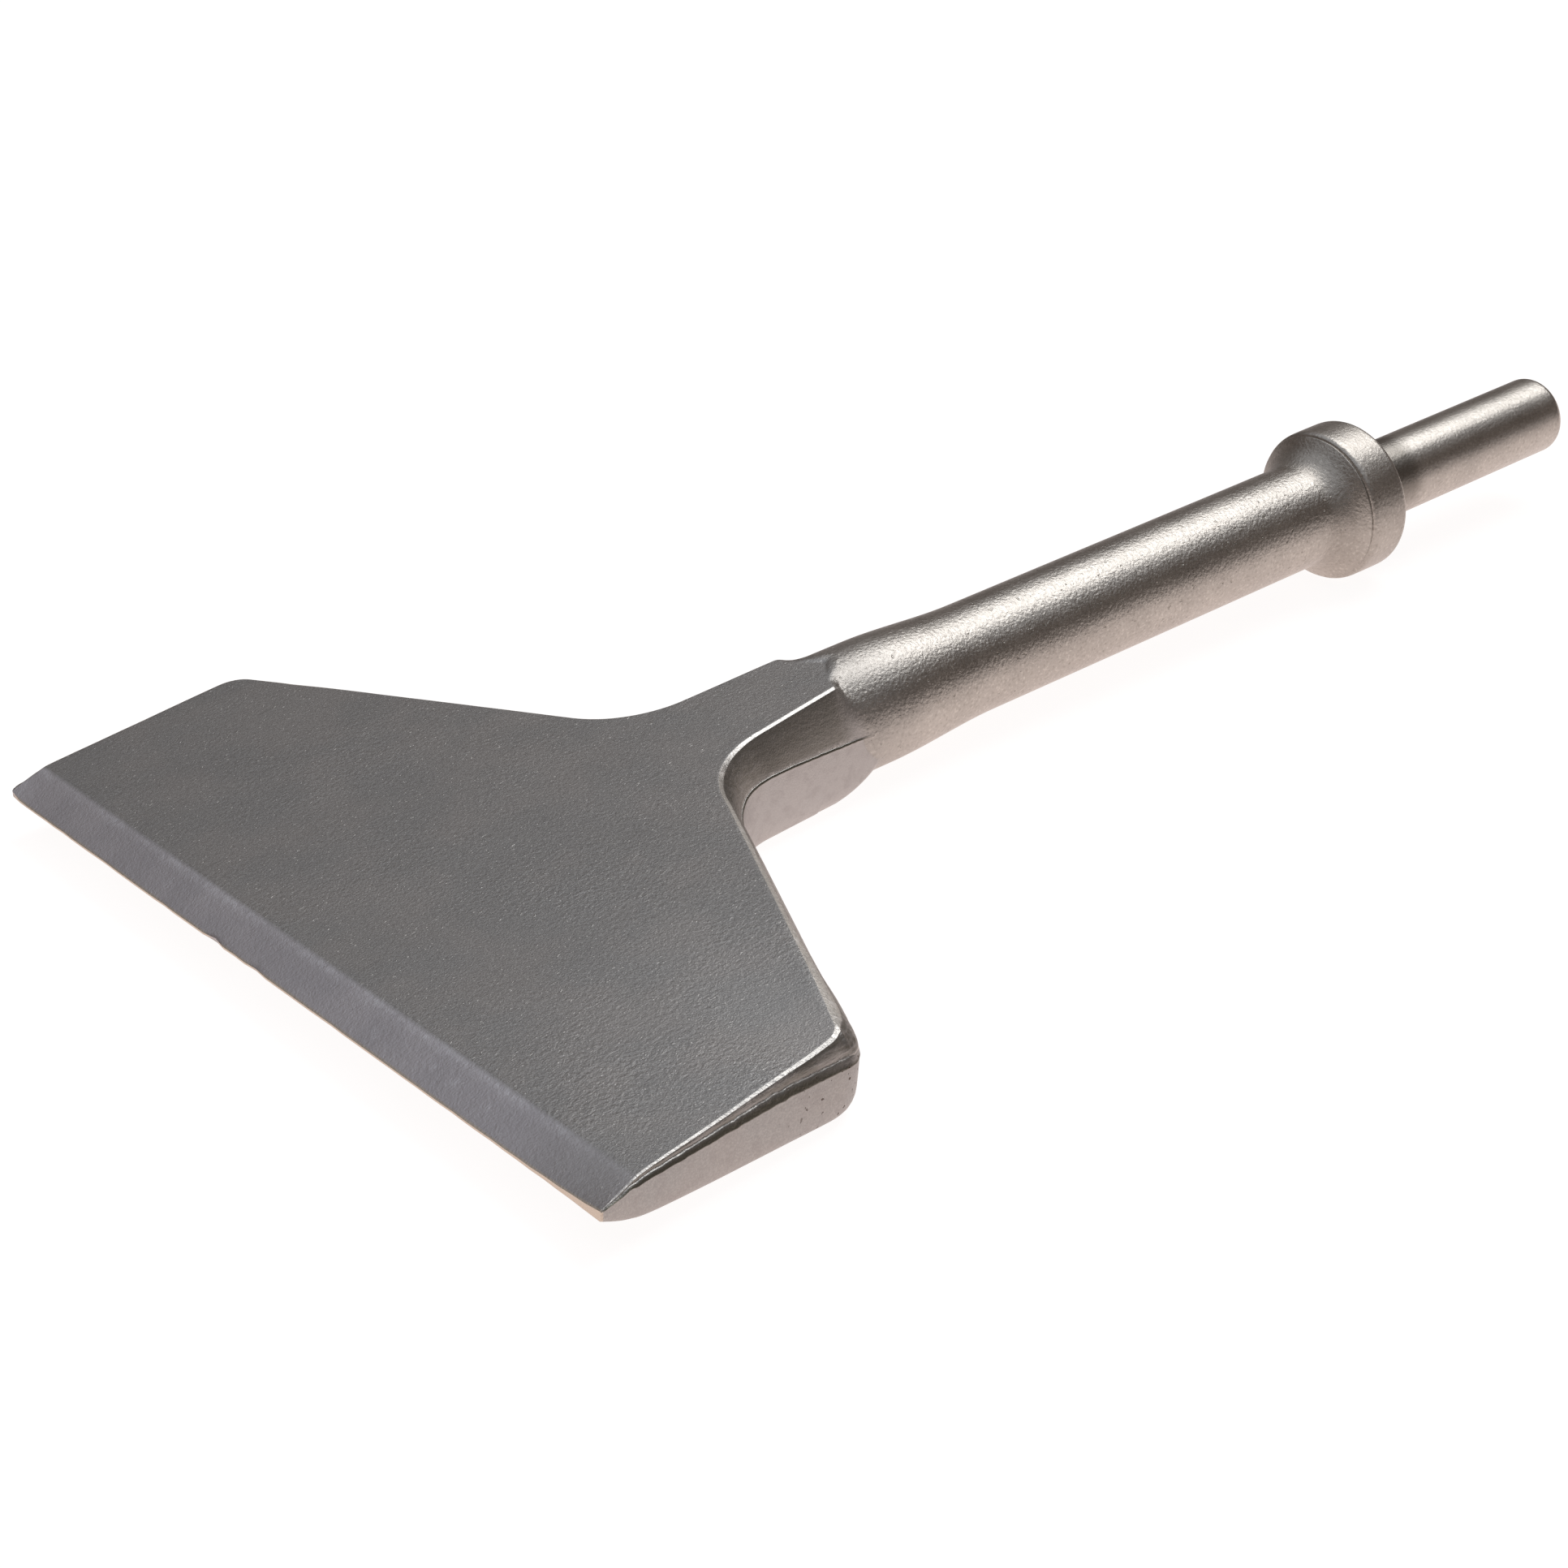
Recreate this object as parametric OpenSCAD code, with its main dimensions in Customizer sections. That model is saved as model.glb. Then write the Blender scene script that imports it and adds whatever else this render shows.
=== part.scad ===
// Wide roofing shovel bit for a round-shank chipping hammer, a steel drop forging.
// The tool's axis is X: the struck end points along +X, the cutting edge along -X, the blade's top up.
// The origin is on the axis, where the plain drive shank leaves the fillet behind the collar.

/* [Drive shank] */
// Diameter of the plain round shank that slides in the hammer's nozzle
drive_d = 17.27; // [15:0.01:20]
// Length of the drive shank, from the collar's fillet to the struck end
drive_len = 60.7; // [45:0.1:80]
// Radius of the rounded edge at the struck end
drive_edge_r = 2.2; // [0.5:0.1:4]

/* [Collar] */
// Diameter of the collar's rim
collar_d = 33.2; // [30:0.1:40]
// Length of the rim, from its front edge to the rear seat
collar_rim = 10.4; // [7:0.1:16]
// Bevel between the front cone and the rim
collar_front_bevel = 0.5; // [0.2:0.1:1]
// Bevel on the rim's rear edge
collar_rear_bevel = 1; // [0.4:0.1:1.6]
// Slope of the collar's front cone against the axis
collar_cone = 50; // [40:1:60]
// Radius of the hollow flare between the shank and the front cone
flare_r = 8; // [4:0.5:10]
// Fillet between the rear seat and the drive shank
root_r = 2; // [1:0.1:3]

/* [Shank] */
// Diameter of the round shank
shank_d = 22.5; // [19:0.1:25]
// Length of the shank, from the neck to the collar's flare
shank_len = 125; // [80:1:200]
// Diameter of the swell next to the neck
swell_d = 25.2; // [23:0.1:27]
// Length of the swell before it tapers
swell_len = 9.5; // [4:0.5:20]
// Length of the taper from the swell to the shank
taper_len = 18; // [8:1:40]

/* [Neck] */
// Length of the neck, from the shoulder fillets to the round shank
neck_len = 29.5; // [24:0.5:60]
// Length over which the neck runs out into the round shank
neck_nose = 8.5; // [6:0.5:12]
// Width of the neck at the parting line, where its top flat ends
neck_w = 24.2; // [22:0.1:27]
// Width of the neck's top flat at its end
neck_top_w = 17.8; // [14:0.1:20]
// Width of the neck above the rounding of its underside, at its end
neck_bottom_w = 23; // [21:0.1:26]
// Height of the neck's top flat above the axis, at its end
neck_top = 11.5; // [10:0.1:12.2]
// Depth of the neck's underside below the axis, at its end
neck_bottom = 12.6; // [11:0.1:14]
// Height of the parting line above the axis, at the neck's end
neck_parting = 0.8; // [-2:0.1:2]
// Widening of each side of the neck towards the blade, per unit of length
neck_spread = 0.09; // [0:0.01:0.15]
// Diameter of the turned form that rounds the neck's corners off
neck_turn_d = 31.4; // [30:0.1:34]
// Length of the turned run-out, back from the round shank
neck_turn_len = 14.5; // [10:0.5:20]
// Length of the ramp on which the round shank rises out of the neck's top flat
nose_len = 4; // [2:0.5:6]
// Length over which the neck's top corners run down to the round shank
corner_run_len = 4.5; // [3:0.5:6]

/* [Blade] */
// Width of the blade between its back corners
blade_w = 190.5; // [120:0.5:260]
// Width of the blade at the cutting edge
edge_w = 197.4; // [120:0.5:270]
// Length of the blade's sides, from the back corners to the cutting edge
side_len = 53.6; // [35:0.1:90]
// Angle of the shoulders against the axis
shoulder_angle = 65.5; // [50:0.5:72]
// Fillet between the neck and the shoulders
fillet_r = 18; // [8:0.5:30]
// Rounding of the back corners
corner_r = 6; // [2:0.5:10]
// Height of the blade's top above the axis, at the back corners
shoulder_top = 6.4; // [4:0.1:9]
// Depth of the blade's underside below the axis, at the back corners
shoulder_bottom = 12; // [9:0.1:14]
// Depth of the parting line below the axis, at the back corners
shoulder_parting = 1.2; // [0:0.1:2]
// Distance that the shoulders' top edges stand back from the parting line
shoulder_draft = 4.3; // [1:0.1:6]
// Distance that the shoulders' lower walls stand back from the parting line
shoulder_under_draft = 1; // [0.2:0.1:2]
// Distance that the sides' top edges and lower walls stand back from the parting line
side_draft = 0.7; // [0.2:0.1:2]
// Rounding of the underside's long edges
under_edge_r = 4; // [2:0.1:4.5]

/* [Cutting edge] */
// Length of the ground bevel on the top
bevel_len = 7.7; // [4:0.1:14]
// Length of the short bevel on the underside
under_bevel_len = 6.5; // [4:0.1:7]
// Height of the blade's top above the axis, where the bevel starts
bevel_top = 0.95; // [0:0.05:2]
// Depth of the blade's underside below the axis, where the bevel starts
bevel_bottom = 8.9; // [7:0.1:10]
// Depth of the worn edge's middle below the axis
edge_mid = 2.7; // [1.8:0.1:3.5]
// Thickness of the blunt land on the cutting edge
edge_land = 1.4; // [0.4:0.1:2.5]

/* [Hidden] */
$fn = 96;

// Planes square to the axis, from the struck end towards the cutting edge
seat_x = -root_r;
rim_x = seat_x - collar_rim;
front_r = collar_d/2 - collar_front_bevel;
flare_rise = flare_r*(1 - cos(collar_cone));
cone_rise = front_r - shank_d/2 - flare_rise;
cone_x = rim_x - cone_rise/tan(collar_cone);
flare_x = cone_x - flare_r*sin(collar_cone);
shank_x = flare_x - shank_len;
flat_x = shank_x - neck_nose;
neck_x = shank_x - neck_len;

// Shoulder line of the parting outline: it touches the fillet that starts where the neck ends
spread_n = sqrt(1 + neck_spread*neck_spread);
fillet_x = neck_x + fillet_r*neck_spread/spread_n;
fillet_y = neck_w/2 + neck_spread*(flat_x - neck_x) + fillet_r/spread_n;
slope = tan(shoulder_angle);
shoulder_x = fillet_x - fillet_r*sin(shoulder_angle);
shoulder_y = fillet_y - fillet_r*cos(shoulder_angle);
back_x = shoulder_x - (blade_w/2 - shoulder_y)/slope;
edge_x = back_x - side_len;
bevel_x = edge_x + bevel_len;
under_x = edge_x + under_bevel_len;
flare_side = (edge_w - blade_w)/2/side_len;

// The outline has five levels: the top edge, the parting line, the foot of the lower wall, the middle of
// the rounding under it and the underside
TOP = 0;
PARTING = 1;
FOOT = 2;
TURN = 3;
BOTTOM = 4;
turn_in = under_edge_r*(1 - sqrt(0.5));
level_in = [0, 0, 0, turn_in, under_edge_r];
neck_half = [neck_top_w/2, neck_w/2, neck_bottom_w/2, neck_bottom_w/2 - turn_in, neck_bottom_w/2 - under_edge_r];
shoulder_back = [shoulder_draft, 0, shoulder_under_draft, shoulder_under_draft + turn_in,
    shoulder_under_draft + under_edge_r];
side_back = [side_draft, 0, side_draft, side_draft + turn_in, side_draft + under_edge_r];

// Steps along the rounded corner and along the fillet
corner_steps = 12;
fillet_steps = 18;

function mix(a, b, t) = a + (b - a)*t;
function ramp(x, xa, a, xb, b) = mix(a, b, (x - xa)/(xb - xa));

// Each line of the outline is y = value at x = 0 minus slope times x
function neck_at(k) = neck_half[k] + neck_spread*flat_x;
function shoulder_at(k) = shoulder_y + slope*shoulder_x - shoulder_back[k]/cos(shoulder_angle);
function side_at(k) = blade_w/2 - side_back[k] + flare_side*back_x;

// Concave fillet of a level, tangent to its neck line and its shoulder line
function fillet_rad(k) = fillet_r + neck_half[PARTING] - neck_half[k];
function fillet_cx(k) = (shoulder_at(k) - neck_at(k)
    + fillet_rad(k)*(1/cos(shoulder_angle) - spread_n))/(slope - neck_spread);
function fillet_cy(k) = neck_at(k) - neck_spread*fillet_cx(k) + fillet_rad(k)*spread_n;
function fillet_from(k) = fillet_cx(k) - fillet_rad(k)*sin(shoulder_angle);
function fillet_to(k) = fillet_cx(k) - fillet_rad(k)*neck_spread/spread_n;

// Convex back corner of a level, tangent to its side and its shoulder line
side_n = sqrt(1 + flare_side*flare_side);
function corner_rad(k) = max(corner_r - level_in[k], corner_r/4);
function corner_cx(k) = (shoulder_at(k) - side_at(k)
    - corner_rad(k)*(1/cos(shoulder_angle) - side_n))/(slope - flare_side);
function corner_cy(k) = side_at(k) - flare_side*corner_cx(k) - corner_rad(k)*side_n;
function corner_from(k) = corner_cx(k) + corner_rad(k)*flare_side/side_n;
function corner_to(k) = corner_cx(k) + corner_rad(k)*sin(shoulder_angle);

// Half width of a level at a place along the axis; the rounding under the sides thins out with the blade
function half_width(x, k) =
    x < corner_from(k) ? side_at(k) - flare_side*x + level_in[k]*(1 - under_round(x)/under_edge_r) :
    x < corner_to(k) ? corner_cy(k) + sqrt(pow(corner_rad(k), 2) - pow(x - corner_cx(k), 2)) :
    x < fillet_from(k) ? shoulder_at(k) - slope*x :
    x < fillet_to(k) ? fillet_cy(k) - sqrt(pow(fillet_rad(k), 2) - pow(x - fillet_cx(k), 2)) :
    neck_at(k) - neck_spread*x;

// Heights of the levels along the axis
function top_z(x) =
    x < bevel_x ? ramp(x, edge_x, edge_land/2 - edge_mid, bevel_x, bevel_top) :
    x < back_x ? ramp(x, bevel_x, bevel_top, back_x, shoulder_top) :
    ramp(x, back_x, shoulder_top, flat_x, neck_top);
function under_z(x) =
    x < bevel_x ? ramp(x, under_x, under_start, bevel_x, -bevel_bottom) :
    x < back_x ? ramp(x, bevel_x, -bevel_bottom, back_x, -shoulder_bottom) :
    ramp(x, back_x, -shoulder_bottom, flat_x, -neck_bottom);
under_start = ramp(under_x, back_x, -shoulder_bottom, bevel_x, -bevel_bottom);
function bottom_z(x) =
    x < under_x ? ramp(x, edge_x, -edge_land/2 - edge_mid, under_x, under_start) : under_z(x);
function parting_z(x) =
    x < back_x ? ramp(x, edge_x, -edge_mid, back_x, -shoulder_parting) :
    ramp(x, back_x, -shoulder_parting, flat_x, neck_parting);

function under_round(x) = min(under_edge_r, 0.6*(parting_z(x) - bottom_z(x)));

// Ten-sided cross-section, from the top left edge round to the left parting line
function section(x) =
    let(t = half_width(x, TOP), p = half_width(x, PARTING), f = half_width(x, FOOT), u = half_width(x, TURN),
        b = half_width(x, BOTTOM), zt = top_z(x), zp = parting_z(x), zb = bottom_z(x), r = under_round(x),
        zf = zb + r, zu = zb + r*turn_in/under_edge_r)
    [[x, -t, zt], [x, t, zt], [x, p, zp], [x, f, zf], [x, u, zu], [x, b, zb],
        [x, -b, zb], [x, -u, zu], [x, -f, zf], [x, -p, zp]];

// Closed solid through the cross-sections at the given places, in rising order
module forged(places) {
    n = 10;
    last = (len(places) - 1)*n;
    sides = [for (i = [0 : len(places) - 2], j = [0 : n - 1])
        let(a = i*n + j, b = i*n + (j + 1)%n) each [[a, b, b + n], [a, b + n, a + n]]];
    ends = [for (j = [1 : n - 2]) each [[0, j + 1, j], [last, last + j, last + j + 1]]];
    polyhedron([for (x = places) each section(x)], concat(sides, ends));
}

// Solid of revolution round the tool's axis, from points of [place along the axis, radius]
module turned(points) {
    rotate([0, 90, 0]) rotate_extrude() polygon([for (p = points) [p[1], p[0]]]);
}

function arc(cx, cr, r, from, to, steps) =
    [for (i = [0 : steps]) let(a = mix(from, to, i/steps)) [cx + r*cos(a), cr + r*sin(a)]];

// Places of the cross-sections along the blade and the neck
levels = [TOP : BOTTOM];
corner_lo = min([for (k = levels) corner_from(k)]);
corner_hi = max([for (k = levels) corner_to(k)]);
fillet_lo = min([for (k = levels) fillet_from(k)]);
blade_places = concat([bevel_x],
    [for (i = [0 : corner_steps]) mix(corner_lo, corner_hi, i/corner_steps)],
    [for (i = [0 : fillet_steps]) mix(fillet_lo, neck_x, i/fillet_steps)]);

module cutting_edge() {
    color([0.55, 0.55, 0.57]) forged([edge_x, under_x, bevel_x]);
}

module blade() {
    color([0.42, 0.41, 0.39]) forged(blade_places);
}

// The neck's lower corners are turned down to the swell, its top corners run down to it on a short cone,
// and the swell rises out of the top flat on a ramp
turn_rise = neck_turn_d/2 - swell_d/2;
turn_r = (neck_turn_len*neck_turn_len + turn_rise*turn_rise)/2/turn_rise;
turn_x = shank_x - neck_turn_len;
turn_sweep = asin(neck_turn_len/turn_r);
blank_r = neck_w + neck_bottom;
corner_end_x = flat_x + nose_len - 0.2*nose_len;
neck_steps = 6;
module neck() {
    color([0.46, 0.45, 0.43]) {
        intersection() {
            forged([for (i = [0 : neck_steps]) mix(neck_x, shank_x, i/neck_steps)]);
            turned(concat([[shank_x, 0], [neck_x, 0], [neck_x, blank_r]],
                arc(turn_x, neck_turn_d/2 - turn_r, turn_r, 90, 90 - turn_sweep, 16)));
            union() {
                turned([[neck_x, 0], [neck_x, blank_r], [corner_end_x - corner_run_len, blank_r],
                    [corner_end_x - corner_run_len, neck_turn_d/2 - 0.35*turn_rise], [corner_end_x, swell_d/2],
                    [shank_x, swell_d/2], [shank_x, 0]]);
                translate([neck_x, -blank_r, -blank_r]) cube([neck_len, 2*blank_r, blank_r + neck_parting]);
            }
        }
        intersection() {
            turned([[flat_x, 0], [flat_x, swell_d/2], [shank_x, swell_d/2], [shank_x, 0]]);
            rotate([90, 0, 0]) linear_extrude(2*blank_r, center = true) polygon([[flat_x, -blank_r],
                [flat_x, neck_top], [flat_x + nose_len, swell_d/2], [shank_x, swell_d/2 + nose_len],
                [shank_x, -blank_r]]);
        }
    }
}

module shank() {
    taper_x = shank_x + swell_len;
    color([0.62, 0.61, 0.59]) turned([[shank_x, 0], [shank_x, swell_d/2], [taper_x, swell_d/2],
        [taper_x + taper_len, shank_d/2], [flare_x, shank_d/2], [flare_x, 0]]);
}

module collar() {
    color([0.58, 0.57, 0.55]) turned(concat([[0, 0], [flare_x, 0]],
        arc(flare_x, shank_d/2 + flare_r, flare_r, -90, collar_cone - 90, 16),
        [[rim_x, front_r], [rim_x + collar_front_bevel, collar_d/2], [seat_x - collar_rear_bevel, collar_d/2],
            [seat_x, collar_d/2 - collar_rear_bevel]],
        arc(0, drive_d/2 + root_r, root_r, 180, 270, 10)));
}

module drive_shank() {
    color([0.64, 0.63, 0.61]) turned(concat([[drive_len, 0], [0, 0], [0, drive_d/2]],
        arc(drive_len - drive_edge_r, drive_d/2 - drive_edge_r, drive_edge_r, 90, 0, 10)));
}

cutting_edge();
blade();
neck();
shank();
collar();
drive_shank();
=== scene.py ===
import math

import bpy
import numpy as np
from mathutils import Matrix, Vector, noise


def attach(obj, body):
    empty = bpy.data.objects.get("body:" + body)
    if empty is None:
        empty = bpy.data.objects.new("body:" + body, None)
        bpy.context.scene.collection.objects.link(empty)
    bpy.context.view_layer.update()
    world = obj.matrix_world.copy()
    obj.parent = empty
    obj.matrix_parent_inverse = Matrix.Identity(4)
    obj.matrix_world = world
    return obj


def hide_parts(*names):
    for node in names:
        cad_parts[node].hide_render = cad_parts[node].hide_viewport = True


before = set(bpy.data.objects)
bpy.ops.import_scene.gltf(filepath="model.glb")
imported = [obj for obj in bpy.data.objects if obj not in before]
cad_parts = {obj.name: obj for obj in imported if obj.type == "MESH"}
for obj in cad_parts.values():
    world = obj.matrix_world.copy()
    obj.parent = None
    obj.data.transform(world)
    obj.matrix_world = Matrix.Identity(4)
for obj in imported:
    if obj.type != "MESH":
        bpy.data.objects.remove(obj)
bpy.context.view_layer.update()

# Camera. It stands in front of the blade's right hand corner, a little above the table, and looks
# down the tool towards the struck end. A long lens keeps the taper of the shank slight.
camera_place = Vector((-0.46494, -0.40821, 0.25321))
camera_aim = Vector((-0.17311, -0.01491, 0.0))
camera_lean = math.radians(-5.086)
camera_lens, camera_sensor = 68.647, 36
camera = bpy.data.objects.new("camera", bpy.data.cameras.new("camera"))
camera.data.sensor_width = camera_sensor
camera.data.lens = camera_lens
camera.data.clip_start = 0.01
camera.matrix_world = (
    Matrix.Translation(camera_place)
    @ (camera_aim - camera_place).to_track_quat("-Z", "Y").to_matrix().to_4x4()
    @ Matrix.Rotation(camera_lean, 4, "Z")
)
scene = bpy.context.scene
scene.collection.objects.link(camera)
scene.camera = camera
scene.view_settings.view_transform = "Standard"


# Light table and studio. The tool lies on a white light table, on its underside and the collar, so the
# table is tilted a little against the tool's axis, and its far edges sweep up. One soft lamp hangs over
# the struck end in a dim room. Sizes here are in metres.
table_slope = -0.0214
table_under_axis = -0.01685
table_size, sweep_out, sweep_rise = 12.0, 1.0, 2.0
table_paint_tone = (0.24, 0.235, 0.23, 1)
table_white, table_unlit, table_painted_reflection = (0.92, 0.905, 0.9, 1), (0, 0, 0, 1), (1.0, 0.865, 0.825, 1)
blade_back, blade_front, blade_half, tool_front = -0.14, -0.24, 0.09, -0.28
lit_least, lit_reach, lit_power = 0.15, 0.09, 1.5
lamp_energy, lamp_spread, lamp_way = 0.95, math.radians(40), Vector((0.56, 0.08, 0.83))
room_low, room_high = (0.125, 0.1, 0.086, 1), (0.54, 0.56, 0.6, 1)
room_dim_up_to, room_lit_from = 0.47, 0.8


class Shade:
    """A value on a surface, wrapped so that sums on it can be written as plain sums."""

    def __init__(self, tree, socket):
        self.tree, self.socket = tree, socket

    @staticmethod
    def node(tree, kind, settings, sockets, out=0):
        """Add a node of one kind, with its settings and its sockets' values or links."""
        added = tree.nodes.new(kind)
        for name, value in settings.items():
            setattr(added, name, value)
        for name, value in sockets.items():
            if isinstance(value, Shade):
                tree.links.new(value.socket, added.inputs[name])
            else:
                added.inputs[name].default_value = value
        return Shade(tree, added.outputs[out])

    def worked(self, operation, a, b):
        return Shade.node(self.tree, "ShaderNodeMath", {"operation": operation}, {0: a, 1: b})

    def __add__(self, other):
        return self.worked("ADD", self, other)

    def __radd__(self, other):
        return self.worked("ADD", other, self)

    def __sub__(self, other):
        return self.worked("SUBTRACT", self, other)

    def __rsub__(self, other):
        return self.worked("SUBTRACT", other, self)

    def __mul__(self, other):
        return self.worked("MULTIPLY", self, other)

    def __rmul__(self, other):
        return self.worked("MULTIPLY", other, self)

    def __truediv__(self, other):
        return self.worked("DIVIDE", self, other)

    def __rtruediv__(self, other):
        return self.worked("DIVIDE", other, self)

    def __pow__(self, other):
        return self.worked("POWER", self, other)

    def __rpow__(self, other):
        return self.worked("POWER", other, self)


def axis_of(place, axis):
    """One coordinate of a place."""
    return Shade.node(place.tree, "ShaderNodeSeparateXYZ", {}, {0: place}, axis)


def between(value, low, high, to_low=0.0, to_high=1.0):
    """A soft step from one level to another while a value goes from low to high."""
    return Shade.node(
        value.tree, "ShaderNodeMapRange", {"interpolation_type": "SMOOTHSTEP"},
        {"Value": value, "From Min": low, "From Max": high, "To Min": to_low, "To Max": to_high})


def blend_colour(share, a, b):
    """Colour a where the share is none, and colour b where it is whole."""
    return Shade.node(share.tree, "ShaderNodeMix", {"data_type": "RGBA"}, {0: share, 6: a, 7: b}, 2)


def outside(value):
    """A distance where it is above zero, and zero elsewhere."""
    return Shade.node(value.tree, "ShaderNodeMath", {"operation": "MAXIMUM"}, {0: value, 1: 0.0})


table_mesh = bpy.data.meshes.new("light_table")
table_mesh.from_pydata(
    [
        (x * reach, y * reach, table_under_axis + table_slope * x * reach + rise)
        for reach, rise in ((table_size, 0), (table_size + sweep_out, sweep_rise))
        for x, y in ((-1, -1), (1, -1), (1, 1), (-1, 1))
    ],
    [],
    [(0, 1, 2, 3)] + [(k, k + 4, (k + 1) % 4 + 4, (k + 1) % 4) for k in range(4)],
)
table = bpy.data.objects.new("light_table", table_mesh)
scene.collection.objects.link(table)
table_top = bpy.data.materials.new("table_top")
table_top.use_nodes = True
table_tree = table_top.node_tree
table_paint = table_tree.nodes["Principled BSDF"]
table_paint.inputs["Base Color"].default_value = table_paint_tone
table_paint.inputs["Roughness"].default_value = 1.0
table_paint.inputs["Specular IOR Level"].default_value = 0.0
table_paint.inputs["Emission Strength"].default_value = 1.0
camera_ray, glossy_ray, clear_ray = (
    Shade.node(table_tree, "ShaderNodeLightPath", {}, {}, "Is %s Ray" % kind)
    for kind in ("Camera", "Glossy", "Transmission"))
table_place = Shade.node(table_tree, "ShaderNodeTexCoord", {}, {}, "Object")
table_x, table_y = (axis_of(table_place, axis) for axis in "XY")
tool_half = between(table_x, blade_front, blade_back, blade_half, 0.0)
beside = Shade.node(table_tree, "ShaderNodeMath", {"operation": "ABSOLUTE"}, {0: table_y}) - tool_half
away = outside(beside) + outside(tool_front - table_x)
# For reflections the table glows pink and brightest beside the tool, fading with distance: a painted pool of
# light that only the steel shows.
table_lit = lit_least + (1 - lit_least) / (1 + (away / lit_reach) ** lit_power)
table_glow = blend_colour(camera_ray, table_unlit, table_white)
table_glow = blend_colour((glossy_ray + clear_ray) * table_lit, table_glow, table_painted_reflection)
table_tree.links.new(table_glow.socket, table_paint.inputs["Emission Color"])
table_mesh.materials.append(table_top)

lamp = bpy.data.objects.new("lamp", bpy.data.lights.new("lamp", "SUN"))
lamp.data.energy = lamp_energy
lamp.data.angle = lamp_spread
lamp.rotation_euler = lamp_way.to_track_quat("Z", "Y").to_euler()
scene.collection.objects.link(lamp)

room = bpy.data.worlds.new("room")
room.use_nodes = True
scene.world = room
room_tree = room.node_tree
room_way = Shade.node(room_tree, "ShaderNodeTexCoord", {}, {}, "Generated")
room_share = between(axis_of(room_way, "Z"), room_dim_up_to, room_lit_from)
room_light = blend_colour(room_share, room_low, room_high)
room_tree.links.new(room_light.socket, room_tree.nodes["Background"].inputs["Color"])


# Blade. The wide wedge of the drop forging, blasted steel: flat top and underside, drafted sides and
# shoulders with the trimmed flash of the dies left round them, and edges dressed round by hand. Its
# sections run on through the neck, so the sizes of both are here, in millimetres.
blade_width, edge_width, side_length = 190.5, 197.4, 53.6
shoulder_lean = math.radians(65.5)
fillet_radius, back_radius = 18, 6
shoulder_top, shoulder_under = 6.4, -12
shoulder_draft, side_draft = 4, 0.7
shoulder_under_draft, side_under_draft, under_corner, under_edge_round = 1, 0.7, 10, 4
neck_width, neck_top_width, neck_under_width = 24.2, 17.8, 23
neck_top, neck_under, neck_spread = 11.5, -12.6, 0.09
bevel_length, under_bevel_length = 7.7, 6.5
bevel_top, bevel_under, edge_middle, edge_land = 0.95, -8.9, -2.7, 1.4

# Places along the axis, from the struck end's side towards the cutting edge
shank_start, neck_length, nose_length = -145.2, 29.5, 8.5
flat_end = shank_start - nose_length
neck_start = shank_start - neck_length
shoulder_slope = math.tan(shoulder_lean)
spread_length = math.hypot(1, neck_spread)
fillet_x = neck_start + fillet_radius * neck_spread / spread_length
fillet_y = neck_width / 2 + neck_spread * (flat_end - neck_start) + fillet_radius / spread_length
shoulder_x = fillet_x - fillet_radius * math.sin(shoulder_lean)
shoulder_y = fillet_y - fillet_radius * math.cos(shoulder_lean)
back_corner = shoulder_x - (blade_width / 2 - shoulder_y) / shoulder_slope
edge_front = back_corner - side_length
bevel_start = edge_front + bevel_length
under_start = edge_front + under_bevel_length
side_flare = (edge_width - blade_width) / 2 / side_length

# Rises of the top, the bevels and the underside along the axis, and how softly each bends to the next
bevel_slope = (bevel_top - edge_middle - edge_land / 2) / bevel_length
top_slope = (shoulder_top - bevel_top) / (back_corner - bevel_start)
neck_slope = (neck_top - shoulder_top) / (flat_end - back_corner)
under_slope = (bevel_under - shoulder_under) / (bevel_start - back_corner)
under_neck_slope = (neck_under - shoulder_under) / (flat_end - back_corner)
under_at_bevel = bevel_under + under_slope * (under_start - bevel_start)
under_bevel_slope = (under_at_bevel - edge_middle + edge_land / 2) / under_bevel_length
bevel_softness, back_softness, under_bevel_softness, under_back_softness = 0.7, 10, 2.5, 4

# Points round one half of a cross-section, on its upper side: flash, wall, dressed edge, face
flash_points, wall_points, round_points, face_points = 6, 10, 9, 26
half_points = flash_points + wall_points + round_points + face_points


def half_width(x, neck_half, shoulder_back, side_back, corner_radius=back_radius, lean=shoulder_lean):
    """Half of the forging's width along the axis, at one level between its top and its underside."""
    neck_line = neck_half + neck_spread * (flat_end - x)
    shoulder_line = shoulder_y + math.tan(lean) * (shoulder_x - x) - shoulder_back / math.cos(lean)
    side_line = blade_width / 2 - side_back + side_flare * (back_corner - x)
    at_zero = [line + slope * x for line, slope in
               ((neck_line, neck_spread), (shoulder_line, math.tan(lean)), (side_line, side_flare))]
    neck_zero, shoulder_zero, side_zero = (float(np.ravel(z)[0]) for z in at_zero)
    radius = fillet_radius + neck_width / 2 - neck_half
    hollow_x = (shoulder_zero - neck_zero + radius * (1 / math.cos(lean) - spread_length)) / (
        math.tan(lean) - neck_spread)
    hollow_y = neck_zero - neck_spread * hollow_x + radius * spread_length
    side_run = math.hypot(1, side_flare)
    round_x = (shoulder_zero - side_zero - corner_radius * (1 / math.cos(lean) - side_run)) / (
        math.tan(lean) - side_flare)
    round_y = side_zero - side_flare * round_x - corner_radius * side_run
    hollow = hollow_y - np.sqrt(np.maximum(radius**2 - (x - hollow_x) ** 2, 0))
    corner = round_y + np.sqrt(np.maximum(corner_radius**2 - (x - round_x) ** 2, 0))
    return np.select(
        [
            x < round_x + corner_radius * side_flare / side_run,
            x < round_x + corner_radius * math.sin(lean),
            x < hollow_x - radius * math.sin(lean),
            x < hollow_x - radius * neck_spread / spread_length,
        ],
        [side_line, corner, shoulder_line, hollow],
        neck_line,
    )


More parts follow.
